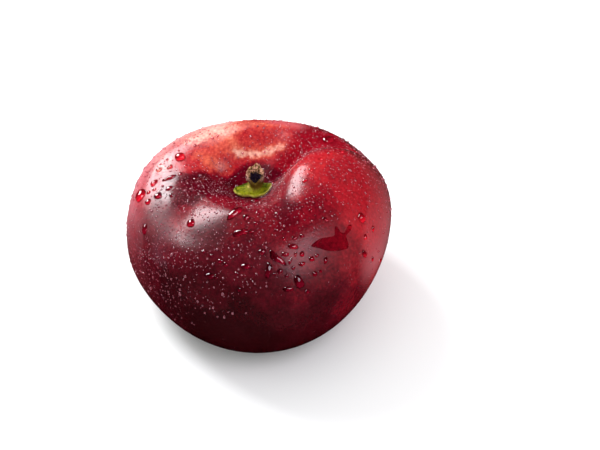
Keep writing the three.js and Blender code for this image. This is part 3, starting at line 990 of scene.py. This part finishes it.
def build_stalk():
    settings = bpy.context.scene.nectarine_stalk
    points, spots = [], []
    for row in range(STALK_ROWS + 1):
        on_axis = row in (0, STALK_ROWS)
        for column in range(1 if on_axis else STALK_AROUND):
            azimuth = 360 * column / STALK_AROUND
            radius, height = spline_at(stalk_outline(azimuth), row / STALK_ROWS)
            radius = 0.0 if on_axis else max(radius, 0.0)
            shift = 0.0 if row == 0 else float(smoothstep(0.9, 2.0, height))
            points.append((FLOOR.x + shift * STUB["x"] + radius * cosd(azimuth),
                           FLOOR.y + shift * STUB["y"] + radius * sind(azimuth),
                           seat_height(azimuth, radius) + SEAT_GAP + height))
            spots.append((row / STALK_ROWS, azimuth, radius, height))
    points = np.array(points)
    coarse = np.stack([fractal(points, 1.6, 21 + k) for k in range(3)], -1)
    fine = np.stack([fractal(points, 0.5, 31 + k) for k in range(3)], -1)
    dried = np.array([smoothstep(2.6, 4.2, height) for _, _, _, height in spots])
    moved = points + coarse * (0.08 + 0.30 * dried)[:, None] + fine * (0.02 + 0.22 * dried)[:, None]
    faces = lathe_faces(STALK_ROWS - 1, STALK_AROUND)
    piece = link_mesh("stalk", to_frame(moved), faces, [stalk_material()])
    broad, small = fractal(points, 1.1, 8), fractal(points, 0.4, 9)
    set_colours(piece, "paint", stalk_paint(settings, spots, broad, small))
    return piece


def stalk_paint(settings, spots, broad, small):
    """Green collar with a pale edge, painted lighter at its front and shaded under it, a brown neck, and a
    dried end with a tan rim and painted shade in its hollow.
    """
    shade = {key: np.array(getattr(settings, key)[:3])
             for key in ("green", "leaf", "edge", "tip", "neck", "bark", "dried", "broken")}
    out = []
    for (share, azimuth, radius, height), wide, tiny in zip(spots, broad, small):
        lip = collar_at(azimuth)[0]
        # painted light and shade: the collar is lighter green at its front and darker at its back, broken by
        # noise
        light = smoothstep(-0.4, 0.5, wide - 0.8 * sind(azimuth))
        colour = shade["green"] + (shade["leaf"] - shade["green"]) * light
        if share < LIP_SHARE:
            rim = smoothstep(0.93, 1.01, radius / lip + 0.05 * wide)
            # painted shade: the collar's underside is darkened to 15 percent of its colour
            under = 1 - smoothstep(0.12, 0.20, share)
            colour = colour * (1 - 0.85 * under)
            pale = shade["edge"] + (shade["tip"] - shade["edge"]) * smoothstep(0.80, 0.98, cosd(azimuth))
            colour = colour + (pale - colour) * rim * (1 - under)
        front = smoothstep(-0.8, 0.9, -sind(azimuth))
        brown = smoothstep(1.2, 2.4, height + 0.4 * wide) * (0.35 + 0.65 * front)
        colour = colour + (shade["neck"] - colour) * brown
        rib = math.exp(-(turn_between(RIB["azimuth"], azimuth) / RIB["width"]) ** 2)
        rib *= smoothstep(0.9, 1.4, height) * (1 - smoothstep(3.0, 4.0, height)) * (share > LIP_SHARE)
        colour = colour + (shade["edge"] - colour) * rib
        left = rim_height(azimuth) - height
        bark = (1 - smoothstep(0.5, 1.3, left + 0.7 * wide)) * smoothstep(2.2, 3.2, height)
        bark *= smoothstep(-0.98, -0.55, sind(azimuth))
        colour = colour + (shade["bark"] - colour) * bark
        inside = smoothstep(INSIDE_SHARE - 0.02, INSIDE_SHARE + 0.03, share)
        back = max(0.0, float(sind(azimuth)))
        # painted shade: lower in the hollow of the dried end the colour goes to near black, starting lower on
        # its far side
        painted_hollow_shade = smoothstep(0.15 + 1.0 * back, 0.6 + 1.3 * back, left + 0.3 * tiny)
        colour = colour + (shade["neck"] - colour) * inside
        colour = colour + (shade["dried"] - colour) * inside * painted_hollow_shade
        patch = 1.1 * back * smoothstep(-0.1, 0.3, tiny)
        crumbs = 1 - smoothstep(0.2 + patch, 0.9 + patch, left + 0.5 * tiny)
        crumbs *= smoothstep(-0.6, 0.4, sind(azimuth) + 0.6 * tiny)
        crumb = shade["neck"] + (shade["broken"] - shade["neck"]) * smoothstep(-0.35, 0.15, tiny + 0.3 * wide)
        colour = colour + (crumb - colour) * crumbs
        out.append(colour)
    return np.array(out)


# ---- The stage ----
FILL = dict(azimuth=314, elevation=53, distance=0.7, size=0.36)
LIGHT_AIM = Vector((0, 0, 0.03))
FLOOR_HALF = 0.9


def soft_light(name, azimuth, elevation, distance, size, power, colour):
    way = toward(azimuth, elevation)
    data = bpy.data.lights.new(name, "AREA")
    data.energy = power
    data.size = size
    data.color = colour
    light = bpy.data.objects.new(name, data)
    light.location = LIGHT_AIM + way * distance
    light.rotation_euler = (-way).to_track_quat("-Z", "Y").to_euler()
    bpy.context.scene.collection.objects.link(light)


def build_stage():
    settings = bpy.context.scene.nectarine_stage
    half = FLOOR_HALF
    nodes = Nodes("floor")
    nodes.shader.inputs["Base Color"].default_value = (0.91, 0.93, 0.915, 1)
    nodes.shader.inputs["Roughness"].default_value = 0.9
    nodes.shader.inputs["Specular IOR Level"].default_value = 0.0
    floor = link_mesh("floor", [(-half, -half, 0), (half, -half, 0), (half, half, 0), (-half, half, 0)],
                      [(0, 1, 2, 3)], [nodes.material], smooth=False)
    floor.visible_glossy = False
    soft_light("key", power=settings.key_power, colour=(0.98, 0.97, 1.0), **KEY)
    soft_light("fill", power=settings.fill_power, colour=(0.98, 0.88, 1.0), **FILL)
    world = bpy.data.worlds.new("room")
    world.use_nodes = True
    world.node_tree.nodes["Background"].inputs["Color"].default_value = (1, 1, 1, 1)
    world.node_tree.nodes["Background"].inputs["Strength"].default_value = settings.surround
    world.cycles_visibility.glossy = False
    bpy.context.scene.world = world
    bpy.context.scene.view_settings.view_transform = "Standard"
    data = bpy.data.cameras.new("camera")
    data.lens = CAMERA["lens"]
    data.sensor_width = CAMERA["sensor"]
    data.clip_start = 0.01
    camera = bpy.data.objects.new("camera", data)
    camera.location = camera_place()
    camera.rotation_euler = (-camera_axes()[0]).to_track_quat("-Z", "Y").to_euler()
    bpy.context.scene.collection.objects.link(camera)
    bpy.context.scene.camera = camera


# ---- Operators ----
class NECTARINE_OT_skin(bpy.types.Operator):
    """Build the fruit's skin"""
    bl_idname = "nectarine.skin"
    bl_label = "Skin"

    def execute(self, context):
        skin = build_skin()
        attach(skin, "root")
        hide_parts("fruit")
        return {"FINISHED"}


class NECTARINE_OT_stalk(bpy.types.Operator):
    """Build the stub of the stalk"""
    bl_idname = "nectarine.stalk"
    bl_label = "Stalk"

    def execute(self, context):
        stalk = build_stalk()
        stalk.visible_glossy = False
        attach(stalk, "root")
        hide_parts("stem")
        return {"FINISHED"}


class NECTARINE_OT_water(bpy.types.Operator):
    """Build the drops, the puddle and the fine beads"""
    bl_idname = "nectarine.water"
    bl_label = "Water"

    def execute(self, context):
        for piece in (build_drops(), build_puddle(), build_mist()):
            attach(piece, "root")
        return {"FINISHED"}


class NECTARINE_OT_stage(bpy.types.Operator):
    """Build the floor, the lights, the room and the camera"""
    bl_idname = "nectarine.stage"
    bl_label = "Stage"

    def execute(self, context):
        build_stage()
        return {"FINISHED"}


class NECTARINE_PT_panel(bpy.types.Panel):
    bl_label = "Nectarine"
    bl_idname = "NECTARINE_PT_panel"
    bl_space_type = "VIEW_3D"
    bl_region_type = "UI"
    bl_category = "Nectarine"

    def draw(self, context):
        scene = context.scene
        for operator, settings in ((NECTARINE_OT_skin, scene.nectarine_skin),
                                   (NECTARINE_OT_stalk, scene.nectarine_stalk),
                                   (NECTARINE_OT_water, scene.nectarine_water),
                                   (NECTARINE_OT_stage, scene.nectarine_stage)):
            box = self.layout.box()
            for name in settings.__annotations__:
                box.prop(settings, name)
            box.operator(operator.bl_idname)


GROUPS = (NectarineSkin, NectarineStalk, NectarineWater, NectarineStage)
OPERATORS = (NECTARINE_OT_skin, NECTARINE_OT_stalk, NECTARINE_OT_water, NECTARINE_OT_stage)


def register():
    for cls in GROUPS + OPERATORS + (NECTARINE_PT_panel,):
        bpy.utils.register_class(cls)
    bpy.types.Scene.nectarine_skin = PointerProperty(type=NectarineSkin)
    bpy.types.Scene.nectarine_stalk = PointerProperty(type=NectarineStalk)
    bpy.types.Scene.nectarine_water = PointerProperty(type=NectarineWater)
    bpy.types.Scene.nectarine_stage = PointerProperty(type=NectarineStage)


def unregister():
    for name in ("nectarine_skin", "nectarine_stalk", "nectarine_water", "nectarine_stage"):
        delattr(bpy.types.Scene, name)
    for cls in reversed(GROUPS + OPERATORS + (NECTARINE_PT_panel,)):
        bpy.utils.unregister_class(cls)


def main():
    register()
    bpy.ops.nectarine.skin()
    bpy.ops.nectarine.stalk()
    bpy.ops.nectarine.water()
    bpy.ops.nectarine.stage()


if __name__ == "__main__":
    main()
